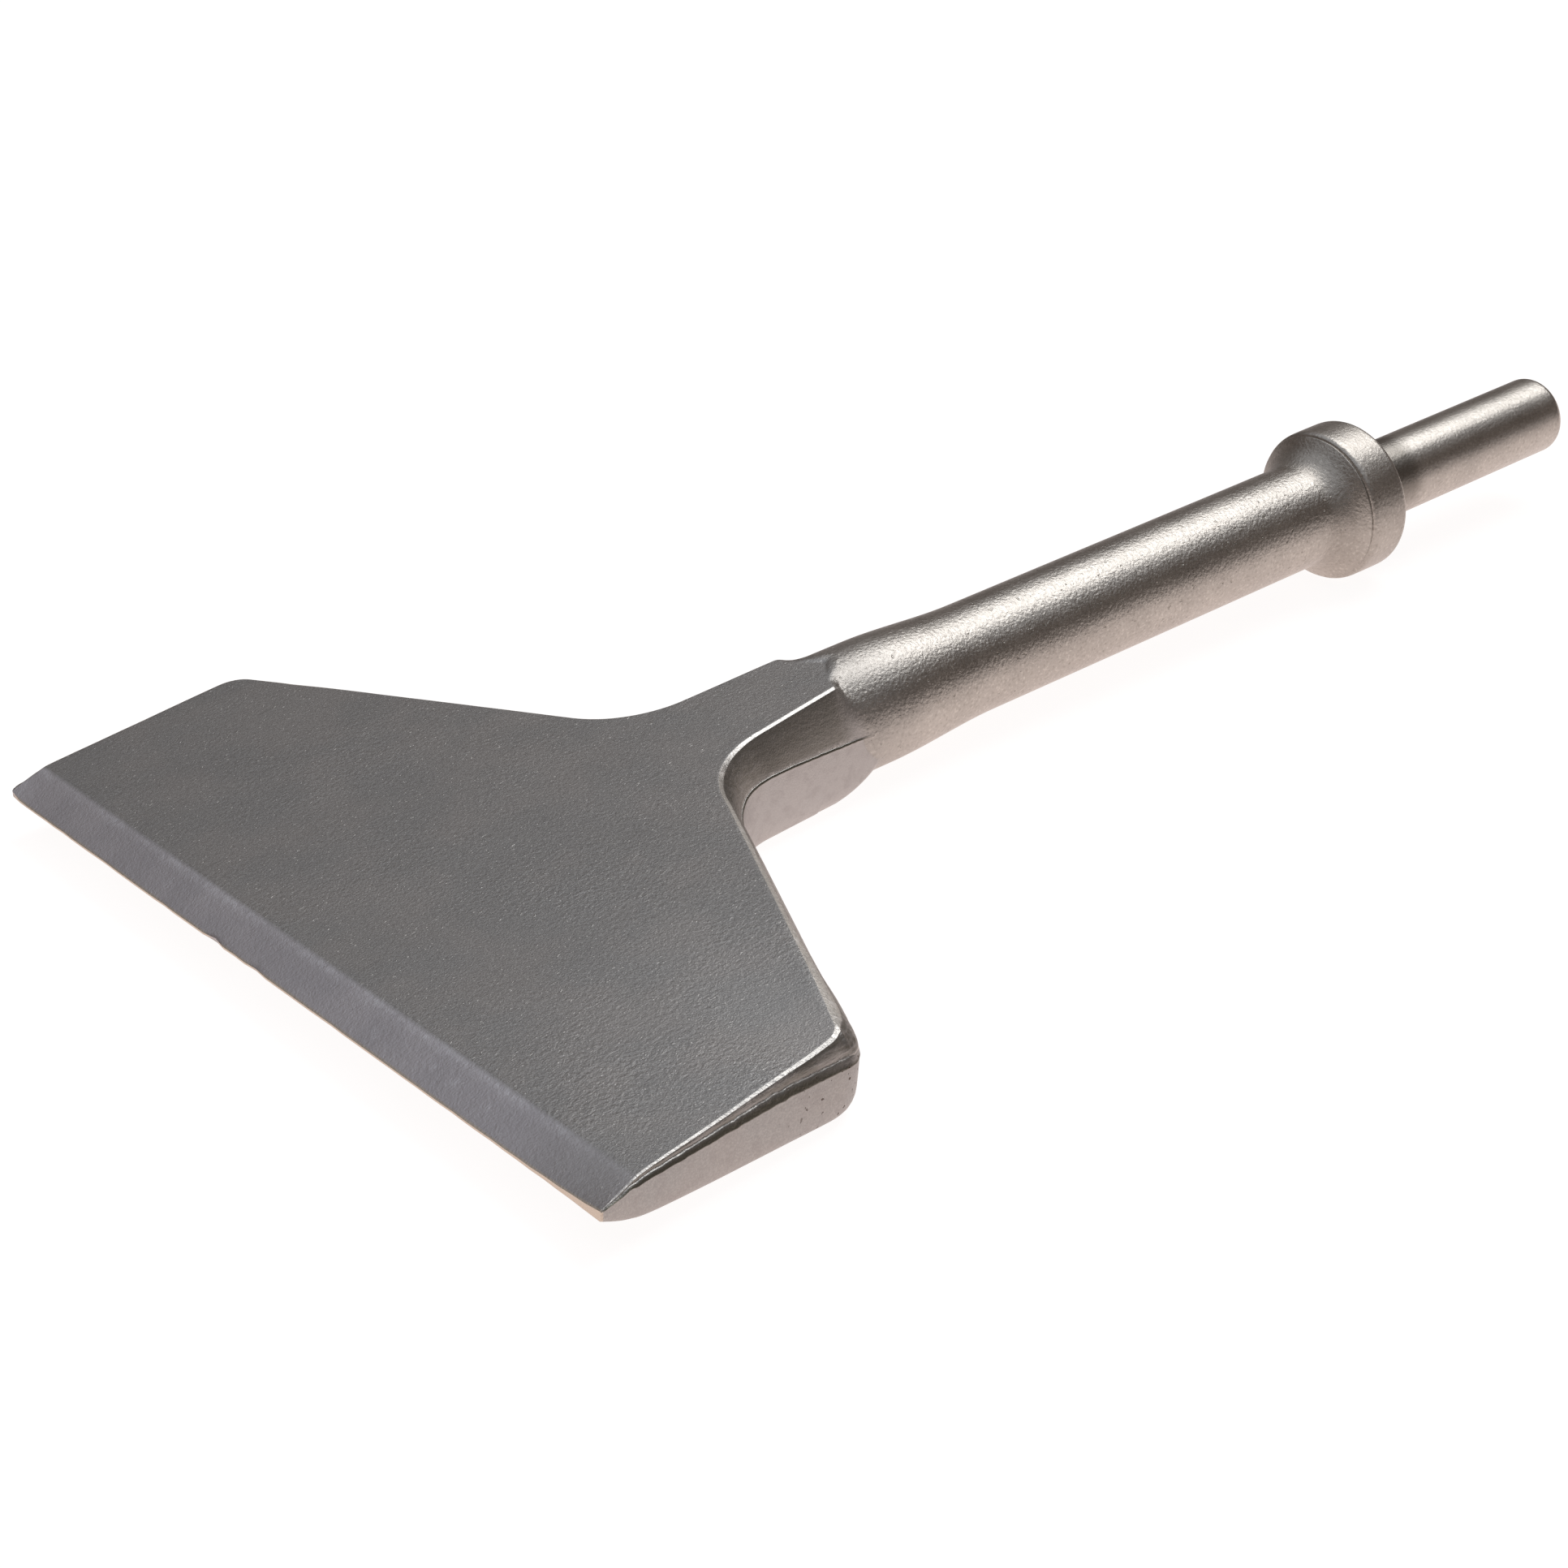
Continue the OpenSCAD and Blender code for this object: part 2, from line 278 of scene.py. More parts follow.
def knee(x, place, softness):
    """Zero before a place and rising by one for one after it, with a soft bend between."""
    return ((x - place) + np.sqrt((x - place) ** 2 + softness**2)) / 2


def bent_line(x, start, height, slope, *bends):
    """Height along the axis of a line that starts at a place and bends to new slopes on its way. A bend
    is its place, its new slope and its softness."""
    line = height + slope * (x - start)
    for place, new_slope, softness in bends:
        line = line + (new_slope - slope) * knee(x, place, softness)
        slope = new_slope
    return line


def ease(x, start, end):
    """A soft step from nought to one between two places."""
    share = np.clip((x - start) / (end - start), 0, 1)
    return share * share * (3 - 2 * share)


def ripple(points, size, seed):
    """Smooth unevenness between minus one and one, the same on every run."""
    flat, offset = points.reshape(-1, 3) / size, Vector((seed, 2 * seed, 0))
    return np.array([noise.noise(Vector(p) + offset) for p in flat]).reshape(points.shape[:-1])


def parting_line(x):
    """Height of the dies' parting line: level along the sides, low round the back corners and raised
    where it runs through the fillets into the neck."""
    front_height, front_slope = -1.95, 0.25
    along_side = (edge_front + 5.4, 0.006, 2), (back_corner - 16, -0.07, 3)
    along_shoulder = (back_corner + 3, 0.045, 3), (flat_end - 38, 0.24, 2)
    along_neck = (flat_end - 29, 0, 2), (flat_end - 17, -0.085, 3), (flat_end + 1, 0, 2)
    return bent_line(x, edge_front, front_height, front_slope, *along_side, *along_shoulder, *along_neck)


def rounded_corner(z, wall, radius, up):
    """Points of a dressed edge between a wall and a flat face, out from the edge and up."""
    length = np.hypot(*wall)
    wall_u, wall_z = wall[0] / length, wall[1] / length
    half_angle = np.arccos(np.clip(-wall_u, -1, 1)) / 2
    reach = radius / np.tan(half_angle)
    mid_u, mid_z = wall_u - 1, wall_z
    mid = np.hypot(mid_u, mid_z) * np.sin(half_angle)
    centre_u, centre_z = radius * mid_u / mid, z + radius * mid_z / mid
    start = np.arctan2(z + reach * wall_z - centre_z, reach * wall_u - centre_u)
    end = math.pi / 2 * up
    angle = start[:, None] + (end - start)[:, None] * np.linspace(0, 1, round_points)[None, :]
    radius = radius[:, None]
    return centre_u[:, None] + radius * np.cos(angle), centre_z[:, None] + radius * np.sin(angle)


def zoned(x, side, shoulder, neck):
    """A size that differs on the sides, the shoulders and the neck, eased from one to the next."""
    on_side = 1 - ease(x, back_corner - 2, back_corner + 4)
    on_neck = ease(x, shoulder_x - 6, neck_start)
    return shoulder + (side - shoulder) * on_side + (neck - shoulder) * on_neck


def hand_sag(x, y, hand):
    """How far the top lies below its plane near the right hand side, which came out of the dies low."""
    places = (-280, -266, -259, -249, -241, -234, -228, -222, -205, -190)
    depths = (0, 0.05, 0.5, 1, 1.15, 1.65, 2.1, 1.4, 0.5, 0)
    sag_start, sag_reach, sag_power = 42, 53, 1.6
    spread = np.linspace(-5, 5, 21)
    at_edge = sum(np.interp(x + step, places, depths) for step in spread) / len(spread)
    return (hand < 0) * at_edge * np.clip((y - sag_start) / sag_reach, 0, 1) ** sag_power


def ground_band(x):
    """Inner line, outer line and fall of the band that is ground along the right hand edge of the top: a
    fine chamfer on the side, wide round the back corner and along the shoulder, and fine at the neck."""
    band_neck, band_back, band_side, band_corner = neck_top_width / 2 - 0.35, 3.9, 2.4, 4
    wide_neck, wide_back, wide_side, wide_corner = band_neck - 2, 5.2, 1.9, 10
    wide_lean = shoulder_lean + math.radians(3)
    side_places = (-275, -266, -259, -249, -241, -234, -228)
    side_insets = (0.6, 1, 1.15, 1.36, 1.7, 2.05, 2.4)
    fine_places = (-275, -266, -249, -234, -228, -199, -190, -184, -174)
    fine_widths = (0.3, 0.4, 0.5, 0.7, 0.8, 1.2, 1.0, 0.85, 0.7)
    fall_places, fall_slopes = (-228, -220, -186, -176), (0.6, 0.84, 0.84, 0.5)
    inner = half_width(x, band_neck, band_back, band_side, band_corner)
    inner = inner + band_side - np.interp(x, side_places, side_insets)
    plan = np.sqrt(1 + np.gradient(inner, x) ** 2)
    wide = half_width(x, wide_neck, wide_back, wide_side, wide_corner, wide_lean)
    outer = np.maximum(inner + np.interp(x, fine_places, fine_widths) * plan, wide)
    fall = (outer - inner) / plan * np.interp(x, fall_places, fall_slopes)
    return inner, outer, fall


def half_section(x, hand):
    """Upper and lower half chains of the forging's cross-sections on one hand, from the parting line
    to the middle, as two pairs of widths and heights."""
    # Most or least of a size, as a share of the height of its wall
    least_wall, most_flash, most_flash_out, most_wander = 0.12, 0.48, 0.2, 0.08
    most_edge_round, most_under_round = 0.4, 0.55
    band_places, most_band = (-228, -222), (0.35, 0.55)
    # How much of the flash and of its lean is gone at the back corner, and how much crown is added
    corner_thinner, corner_steeper, corner_crown, flute_depth = 0.75, 0.7, 0.13, 0.09

    top = half_width(x, neck_top_width / 2, shoulder_draft, side_draft)
    if hand < 0:
        top, band_rim, band_fall = ground_band(x)
    part = half_width(x, neck_width / 2, 0, 0)
    under = half_width(x, neck_under_width / 2, shoulder_under_draft, side_under_draft, under_corner)
    plan = np.sqrt(1 + np.gradient(part, x) ** 2)
    top_z = bent_line(x, edge_front, edge_middle + edge_land / 2, bevel_slope,
                      (bevel_start, top_slope, bevel_softness), (back_corner, neck_slope, back_softness))
    under_z = bent_line(x, edge_front, edge_middle - edge_land / 2, under_bevel_slope,
                        (under_start, under_slope, under_bevel_softness),
                        (back_corner, under_neck_slope, under_back_softness))
    part_z = np.minimum(parting_line(x), top_z - least_wall * (top_z - under_z))
    edge_z = top_z - hand_sag(x, top, hand)
    upper, lower = edge_z - part_z, part_z - under_z
    at_corner = ease(x, back_corner - 4, back_corner - 1) * (1 - ease(x, back_corner + 4, back_corner + 7))

    # Flash, trimmed ragged, thin round the back corner and on a line that wanders a little
    places = np.stack([x, part * hand, part_z], 1)
    jag = 0.6 * ripple(places, 3, 3 * hand) + 0.5 * ripple(places, 0.7, 9 * hand)
    flash_height = zoned(x, side=1.6, shoulder=0.55, neck=0.4) * (1 + 0.12 * jag)
    flash_height = np.minimum(flash_height, most_flash * upper)
    flash_out = zoned(x, side=0.3, shoulder=0.1, neck=0.17) * (1 + 0.3 * jag)
    flash_out = np.minimum(flash_out, most_flash_out * upper) * (1 - corner_thinner * at_corner)
    wander = np.minimum(zoned(x, side=0.2, shoulder=0.08, neck=0.08), most_wander * lower)
    part_z = part_z + wander * ripple(places, 1.1, 17 * hand)

    # Edge of the top, ground to a band on the right hand and dressed round on the left
    if hand < 0:
        kept = np.minimum(1, np.interp(x, band_places, most_band) * upper / band_fall)
        rim_y = top + (band_rim - top) * kept
        share = np.linspace(0, 1, round_points)[None, :]
        arc_y = rim_y[:, None] + (top - rim_y)[:, None] * share
        arc_z = edge_z[:, None] - (band_fall * kept)[:, None] * (1 - share - 0.3 * share * (1 - share))
        flash_lean = (part - rim_y) * flash_height / (upper - band_fall * kept)
        flash_lean = flash_lean * (1 - corner_steeper * at_corner)
    else:
        flash_lean = (part - top) * flash_height / upper
    foot_y, foot_z = part - flash_out * plan - flash_lean, part_z + flash_height
    if hand > 0:
        flat = zoned(x, side=1.8, shoulder=1.2, neck=1.0)
        edge_round = zoned(x, side=0.5, shoulder=0.25, neck=0.6)
        edge_round = edge_round + 0.3 * np.exp(-((x - back_corner - 1) / 4) ** 2)
        wall = (foot_y - top) / plan / flat, foot_z - edge_z
        arc_u, arc_z = rounded_corner(edge_z, wall, np.minimum(edge_round, most_edge_round * upper), 1)
        arc_y = top[:, None] + (plan * flat)[:, None] * arc_u

    # Flash, wall and top face as points
    climb = np.array([0, 0.1, 0.45, 0.8, 0.93, 1.0])[None, :]
    stand = np.array([1, 0.97, 0.8, 0.62, 0.4, -0.1])[None, :]
    flash_z = part_z[:, None] + flash_height[:, None] * climb
    flash_y = (part - flash_out * plan)[:, None] + (flash_out * plan)[:, None] * stand
    flash_y = flash_y - flash_lean[:, None] * climb
    run = np.cumsum(plan * np.gradient(x))
    flutes = flute_depth * at_corner * np.sin(run * 2.6 + 2 * np.sin(run * 0.9))
    crown = zoned(x, side=0.085, shoulder=0.12, neck=0.035) + corner_crown * at_corner
    share = (np.arange(1, wall_points + 1) / (wall_points + 1))[None, :]
    bulge = (crown * (arc_z[:, 0] - foot_z) + flutes)[:, None] * 4 * share * (1 - share)
    wall_y = foot_y[:, None] + (arc_y[:, :1] - foot_y[:, None]) * share + bulge
    wall_z = foot_z[:, None] + (arc_z[:, :1] - foot_z[:, None]) * share
    inward = 1 - (np.arange(1, face_points + 1) / (face_points + 1))[None, :]
    face_y = arc_y[:, -1:] * inward
    face_z = top_z[:, None] - hand_sag(x[:, None], face_y, hand)
    face_z = face_z + (arc_z[:, -1] - edge_z)[:, None]
    upper_chain = np.hstack([flash_y, wall_y, arc_y, face_y]), np.hstack([flash_z, wall_z, arc_z, face_z])

    # Lower wall, rounded lower edge and underside as points
    rim_y = part - 0.08 * plan
    under_round = under_edge_round + 1.5 * np.exp(-((x - back_corner - 2) / 5) ** 2)
    wall = (rim_y - under) / plan, part_z - under_z
    arc_u, arc_z = rounded_corner(under_z, wall, np.minimum(under_round, most_under_round * lower), -1)
    arc_y = under[:, None] + plan[:, None] * arc_u
    share = np.linspace(0.02, 0.96, flash_points + wall_points - 1)[None, :]
    wall_y = rim_y[:, None] + (arc_y[:, :1] - rim_y[:, None]) * share + 0.05 * 4 * share * (1 - share)
    wall_z = part_z[:, None] + (arc_z[:, :1] - part_z[:, None]) * share
    face_y, face_z = arc_y[:, -1:] * inward, np.repeat(arc_z[:, -1:], face_points, 1)
    lower_y = np.hstack([part[:, None], wall_y, arc_y, face_y])
    lower_z = np.hstack([part_z[:, None], wall_z, arc_z, face_z])
    return upper_chain, (lower_y, lower_z)


def forging_rings(x):
    """Cross-sections of the forging, each from the left parting line over the top to the right one and
    back under the blade."""
    (left_y, left_z), (left_under_y, left_under_z) = half_section(x, 1)
    (right_y, right_z), (right_under_y, right_under_z) = half_section(x, -1)
    middle = np.zeros((len(x), 1))
    y = np.hstack([left_y, middle, -right_y[:, ::-1], -right_under_y[:, 1:], middle, left_under_y[:, :0:-1]])
    z = np.hstack([left_z, left_z[:, -1:], right_z[:, ::-1], right_under_z[:, 1:],
                   left_under_z[:, -1:], left_under_z[:, :0:-1]])
    return np.stack([np.repeat(x[:, None], y.shape[1], 1), y, z], 2)


def forging_marks(x):
    """How far each point is dressed on the grinder (the same mark puts a painted glint on the flash's
    crest), trimmed flash, upper wall, or part of the top face.
    The first three fade out on the bar."""
    edge = flash_points + wall_points
    edge_and_crest_glint, on_flash, on_wall, on_face = np.zeros((4, half_points))
    edge_and_crest_glint[edge : edge + round_points] = np.sqrt(np.sin(np.linspace(0, math.pi, round_points)).clip(0))
    # The top two flash points share the grinder's mark: a painted glint along the flash's crest.
    edge_and_crest_glint[flash_points - 2 : flash_points] = 0.6
    on_flash[:flash_points] = (0.7, 1, 1, 0.45, 0.1, 0)
    on_wall[flash_points : edge + 1] = 1
    on_face[edge + round_points - 2 :] = 1
    thin_flash = np.ones((len(x), half_points))
    thin_flash[:, 2:4] = np.interp(abs(x - back_corner - 2), (5, 12), (0.15, 1))[:, None]
    marks = {}
    for mark, row, in_middle, kept in (
        ("dressed_and_glint", edge_and_crest_glint, 0, 1 - ease(x, flat_end - 1.5, flat_end + 1)),
        ("flash", on_flash * thin_flash, 0, 1 - ease(x, flat_end + 1, flat_end + 5)),
        ("wall", on_wall, 0, 1 - ease(x, flat_end - 4, flat_end + 3)),
        ("face", on_face, 1, np.ones(len(x))),
    ):
        half = np.broadcast_to(row, thin_flash.shape)
        middle, under = np.zeros((len(x), 1)), np.zeros((len(x), half_points - 1))
        ring = np.hstack([half, middle + in_middle, half[:, ::-1], under, middle, under])
        marks[mark] = ring * kept[:, None]
    return marks


def closed_skin(name, rings, first, last, marks):
    """Closed mesh through the rings from first to last, in millimetres. The rings beyond them only
    steer the shading, so that two pieces of one forging meet without a line."""
    along = np.gradient(rings, axis=0)
    around = np.roll(rings, -1, 1) - np.roll(rings, 1, 1)
    shading = np.cross(along, around)
    shading /= np.maximum(np.linalg.norm(shading, axis=2, keepdims=True), 1e-12)
    rings, shading = rings[first:last], shading[first:last]
    rows, count = rings.shape[:2]
    points = rings.reshape(-1, 3)
    faces, face_shading = [], []
    for row in range(rows - 1):
        for k in range(count):
            n = (k + 1) % count
            corners = ((row, k), (row + 1, k), (row + 1, n), (row, n))
            faces.append([r * count + c for r, c in corners])
            face_shading += [shading[r, c] for r, c in corners]
    for row, way in ((0, 1), (rows - 1, -1)):
        for k in range(count // 2):
            corners = [k, k + 1, (count - k - 1) % count, (count - k) % count][::way]
            corners = [row * count + c for i, c in enumerate(corners) if c not in corners[:i]]
            a, b, c = (points[corners[i]] for i in range(3))
            normal = np.cross(b - a, c - a)
            faces.append(corners)
            face_shading += [normal / max(np.linalg.norm(normal), 1e-12)] * len(corners)
    mesh = bpy.data.meshes.new(name)
    mesh.from_pydata((points / 1000).tolist(), [], faces)
    for mark, values in marks.items():
        layer = mesh.attributes.new(mark, "FLOAT", "POINT")
        layer.data.foreach_set("value", values[first:last].ravel().astype(np.float32))
    mesh.polygons.foreach_set("use_smooth", [True] * len(faces))
    mesh.normals_split_custom_set([tuple(n) for n in face_shading])
    piece = bpy.data.objects.new(name, mesh)
    scene.collection.objects.link(piece)
    return piece


def dress_edge(rings):
    """The blunt land of the cutting edge: a fine line along most of it, tall at the right hand tip and
    rounded over at the left one, with the small chips of use along it."""
    x, y, z = rings[..., 0], rings[..., 1], rings[..., 2]
    from_right, from_left = y + edge_width / 2, edge_width / 2 - y
    top_level, right_rise, left_rise = -2.75, 1.3, 0.9
    foot_level, right_drop = -3.35, 0.45
    land_top = top_level + right_rise * np.exp(-from_right / 8) + left_rise * np.exp(-from_left / 2)
    land_foot = foot_level - right_drop * np.exp(-from_right / 12)
    back = x - edge_front
    above = z > edge_middle + back * 0.2
    shift = np.where(above, land_top - edge_middle - edge_land / 2, land_foot - edge_middle + edge_land / 2)
    z = z + shift * np.clip(1 - back / np.where(above, bevel_length, under_bevel_length), 0, 1)
    spot = np.stack([0 * y, y, 0 * y], 2)
    chip = np.clip(ripple(spot, 2.5, 5), 0, 1) * 0.2 + np.clip(ripple(spot, 9, 8) - 0.2, 0, 1) * 0.35
    for chip_y, chip_width, chip_depth in ((18.3, 2.2, 0.55), (2.3, 1.2, 0.4)):
        chip = chip + chip_depth * np.exp(-((y - chip_y) / chip_width) ** 2)
    chip_reach, tip_reach, tip_depth = 1.2, 2.5, 1.2
    x = x + chip * np.clip(1 - back / chip_reach, 0, 1) ** 2
    x = x + tip_depth * np.exp(-from_left / 0.8) * np.clip(1 - back / tip_reach, 0, 1)
    return np.stack([x, y, z], 2)


def surface_place(tree):
    """Place on the tool in millimetres."""
    place = Shade.node(tree, "ShaderNodeTexCoord", {}, {}, "Object")
    return Shade.node(tree, "ShaderNodeVectorMath", {"operation": "SCALE"}, {0: place, "Scale": 1000.0})


def marked(tree, mark):
    """One of the marks that the mesh carries on its points."""
    return Shade.node(tree, "ShaderNodeAttribute", {"attribute_name": mark}, {}, "Fac")


def mottle(place, scale, detail, stretch=None):
    """Random unevenness round one half, at a scale in spots per millimetre."""
    tree = place.tree
    if stretch:
        place = Shade.node(tree, "ShaderNodeVectorMath", {"operation": "MULTIPLY"}, {0: place, 1: stretch})
    sockets = {"Vector": place, "Scale": scale, "Detail": detail}
    return Shade.node(tree, "ShaderNodeTexNoise", {}, sockets, "Fac")


def new_finish(name):
    """An empty steel finish, and the place on the tool that its detail is made from."""
    finish = bpy.data.materials.new(name)
    finish.use_nodes = True
    finish.node_tree.nodes["Principled BSDF"].inputs["Metallic"].default_value = 1.0
    return finish, surface_place(finish.node_tree)


def lay_on(finish, tone, rough, height):
    """Give a finish its colour, its roughness and its relief, from a height in millimetres."""
    tree = finish.node_tree
    bump = Shade.node(
        tree, "ShaderNodeBump", {}, {"Height": height, "Distance": 0.001, "Strength": 1.0}, "Normal")
    for value, socket in ((tone, "Base Color"), (rough, "Roughness"), (bump, "Normal")):
        tree.links.new(value.socket, tree.nodes["Principled BSDF"].inputs[socket])


def bar_finish(place):
    """Colour, roughness and relief of blasted bar, with its fine orange peel. It is duller next to the
    forged neck and calmer towards the struck end, and where the drive shank leaves the collar its upper
    side is painted dark: painted shade where the highlight falls away."""
    steel, pale_steel, dull_steel = (0.45, 0.422, 0.388, 1), (0.5, 0.469, 0.431, 1), (0.36, 0.345, 0.33, 1)
    dark_fleck, bright_fleck = (0.27, 0.248, 0.216, 1), (0.72, 0.687, 0.63, 1)
    root_painted_shade = (0.18, 0.165, 0.145, 1)
    to_neck, to_collar, root_front, root_end = (-128, -151), (-24, -6), (-0.5, 0.5), (14, 9)
    root_under = (-5, 1, 0.3, 1.0)
    along, up = axis_of(place, "X"), axis_of(place, "Z")
    dull, calm = between(along, *to_neck), between(along, *to_collar)
    # Painted shade at the drive shank's root, darkest on its upper side.
    root = between(along, *root_end) * between(along, *root_front) * between(up, *root_under)
    grain = mottle(place, scale=2.0, detail=3)
    peel = mottle(place, scale=1.3, detail=4)
    fleck = mottle(place, scale=1.5, detail=1)
    cloud = mottle(place, scale=0.12, detail=3)
    pit = between(mottle(place, scale=0.7, detail=1), 0.71, 0.76) * (1 - calm)
    tone = blend_colour(between(cloud, 0.35, 0.65), steel, pale_steel)
    tone = blend_colour(between(fleck, 0.44, 0.28) * 0.4 + pit * 0.6, tone, dark_fleck)
    tone = blend_colour(between(fleck, 0.56, 0.72) * 0.4, tone, bright_fleck)
    tone = blend_colour(dull * 0.35, tone, dull_steel)
    # The root's painted shade.
    tone = blend_colour(root * 0.75, tone, root_painted_shade)
    rough = 0.33 + (grain - 0.5) * 0.14 + (cloud - 0.5) * 0.06 + dull * 0.09
    height = grain * (0.065 - calm * 0.03) + peel * (0.12 + dull * 0.04 - calm * 0.07) - pit * 0.05
    return tone, rough, height


def forged_finish(place):
    """Colour, roughness and relief of the forged and blasted skin: a fine grain with small bright
    specks and hair lines, wrinkled in places, with dressed edges and trimmed flash. Painted light on
    it: shade on the flash and, with their scale, on the upper walls, a glint on the flash's crest and a
    sheen on the lower walls near the neck."""
    steel, warm_steel = (0.35, 0.343, 0.335, 1), (0.372, 0.356, 0.343, 1)
    bright_line, dark_grain = (0.68, 0.665, 0.635, 1), (0.3, 0.288, 0.275, 1)
    pit_dark, painted_low_sheen, blotch_dark = (0.12, 0.095, 0.08, 1), (0.52, 0.5, 0.49, 1), (0.3, 0.275, 0.27, 1)
    scale_and_painted_shade, flash_painted_shade = (0.2, 0.188, 0.158, 1), (0.17, 0.16, 0.13, 1)
    ground, bright_ground = (0.58, 0.56, 0.53, 1), (0.84, 0.8, 0.74, 1)
    chip_bright = (0.85, 0.82, 0.78, 1)
    along_tool, hair_line, up_and_down = (0.16, 2.6, 1.0), (0.1, 1.0, 1.0), (2.4, 2.4, 0.25)
    along_wall = (0.14, 1.0, 1.5)
    to_neck, to_side, to_right_hand = (-205, -165), (-222, -230), (10, -80)
    from_corner, to_fillet, to_corner, out_to_side = (-226, -220), (-184, -196), (-243, -230), (-92, -95)

    # Where on the tool
    dressed_and_glint, flash, wall, face = (marked(place.tree, mark) for mark in ("dressed_and_glint", "flash", "wall", "face"))
    along, across = axis_of(place, "X"), axis_of(place, "Y")
    near_neck, on_side = between(along, *to_neck), between(along, *to_side)
    on_shoulder = between(along, *from_corner) * between(along, *to_fillet)
    by_corner = between(along, *to_corner) * between(across, *out_to_side)
    low = (1 - face) * (1 - wall)

    # Grain, lines and spots of the skin
    grain = mottle(place, scale=3.0, detail=2)
    pebble = mottle(place, scale=1.15, detail=4)
    cloud = mottle(place, scale=0.07, detail=2)
    wrinkled = between(mottle(place, scale=0.03, detail=2), 0.35, 0.68, 0.35, 1.0)
    coarse = wrinkled * (1 + between(across, *to_right_hand) * 0.5)
    brush = mottle(place, scale=1.0, detail=2, stretch=up_and_down)
    streak = mottle(place, scale=1.0, detail=3, stretch=along_wall)
    scratch = face * between(mottle(place, scale=1.0, detail=1, stretch=along_tool), 0.62, 0.7) * near_neck
    speck = face * between(mottle(place, scale=1.7, detail=0), 0.75, 0.82)
    hair = face * between(mottle(place, scale=1.0, detail=0, stretch=hair_line), 0.79, 0.83)
    chip = dressed_and_glint * between(mottle(place, scale=0.55, detail=1), 0.61, 0.66)
    pit = (1 - wall) * by_corner * between(mottle(place, scale=1.0, detail=1), 0.68, 0.72)
    blotch = between(mottle(place, scale=0.4, detail=4), 0.44, 0.7)

    # Flat steel first, then the lower walls with their painted sheen, the scale and painted shade of the
    # upper walls, the ground edges with the painted glint on the flash's crest, and the flash's painted
    # shade
    tone = blend_colour(between(cloud, 0.35, 0.65), steel, warm_steel)
    tone = blend_colour(between(grain, 0.35, 0.7) * 0.25 + scratch * 0.5 + speck * 0.5, tone, bright_line)
    tone = blend_colour(between(pebble, 0.42, 0.3) * 0.2 + hair * 0.4, tone, dark_grain)
    # Lower walls near the neck painted paler: a painted sheen that stands in for the table's reflection.
    tone = blend_colour(near_neck * low * 0.6, tone, painted_low_sheen)
    tone = blend_colour(low * blotch * 0.28, tone, blotch_dark)
    # Upper walls darkened: partly their dark scale, partly painted shade.
    streaked = between(streak, 0.35, 0.65, 0.3, -0.3) * (1 - near_neck * 0.8)
    tone = blend_colour(wall * (0.57 + streaked - on_side * 0.2), tone, scale_and_painted_shade)
    # Ground edges; the same mark also gives the flash's crest its painted glint.
    ground_off = between(dressed_and_glint + (pebble - 0.5) * 0.6, 0.25, 0.55) * between(brush, 0.3, 0.7, 0.55, 1.0)
    tone = blend_colour(ground_off, tone, blend_colour(on_shoulder, ground, bright_ground))
    tone = blend_colour(chip, tone, chip_bright)
    # The flash is painted dark: painted shade on its face.
    trimmed = flash * (1 - near_neck) + between(flash, 0.1, 0.6) * near_neck
    tone = blend_colour(trimmed * between(grain, 0.25, 0.5, 0.7, 1.0), tone, flash_painted_shade)
    tone = blend_colour(pit, tone, pit_dark)

    rough = 0.44 + (grain - 0.5) * 0.12 + (cloud - 0.5) * 0.05 - scratch * 0.1 - dressed_and_glint * 0.06
    rough = rough + dressed_and_glint * on_shoulder * 0.18
    height = grain * 0.05 + pebble * coarse * 0.1 + speck * 0.03 + dressed_and_glint * brush * 0.06
    height = height + wall * (1 - near_neck * 0.8) * streak * 0.12 - pit * 0.1
    return tone, rough, height


bevel_shares = (0, 0.02, 0.05, 0.09, 0.14, 0.2, 0.27, 0.35, 0.44, 0.53, 0.62, 0.71, 0.8, 0.87, 0.93, 0.97)
blade_places = np.concatenate([
    edge_front + bevel_length * np.array(bevel_shares),
    np.linspace(bevel_start, back_corner - 4, 60),
    np.arange(back_corner - 3.6, back_corner + 6, 0.3),
    np.arange(back_corner + 6.2, shoulder_x, 0.5),
    np.linspace(shoulder_x + 0.2, neck_start, 42),
    np.arange(neck_start + 0.5, flat_end - 6, 0.5),
    np.arange(flat_end - 6, shank_start - 0.1, 0.25),
    [shank_start, shank_start + 0.2],
])
bevel_row = int(np.argmin(abs(blade_places - bevel_start)))
neck_row = int(np.argmin(abs(blade_places - neck_start)))
forging = dress_edge(forging_rings(blade_places))
long_wave, short_wave, level_edge = 0.045, 0.012, 8
unevenness = ripple(forging, 14, 21) * long_wave + ripple(forging, 5, 33) * short_wave
forging[..., 2] += unevenness * np.clip((np.abs(forging[..., 0] - edge_front)) / level_edge, 0, 1)

blade_steel, place = new_finish("blade_steel")
bar = marked(place.tree, "bar")
forged_tone, forged_rough, forged_height = forged_finish(place)
bar_tone, bar_rough, bar_height = bar_finish(place)
lay_on(
    blade_steel, blend_colour(bar, forged_tone, bar_tone),
    forged_rough + (bar_rough - forged_rough) * bar, forged_height + (bar_height - forged_height) * bar)

marks = forging_marks(blade_places)
blade = closed_skin("forged_blade", forging, bevel_row, neck_row + 1, marks)
blade.data.materials.append(blade_steel)
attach(blade, "root")
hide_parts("blade")


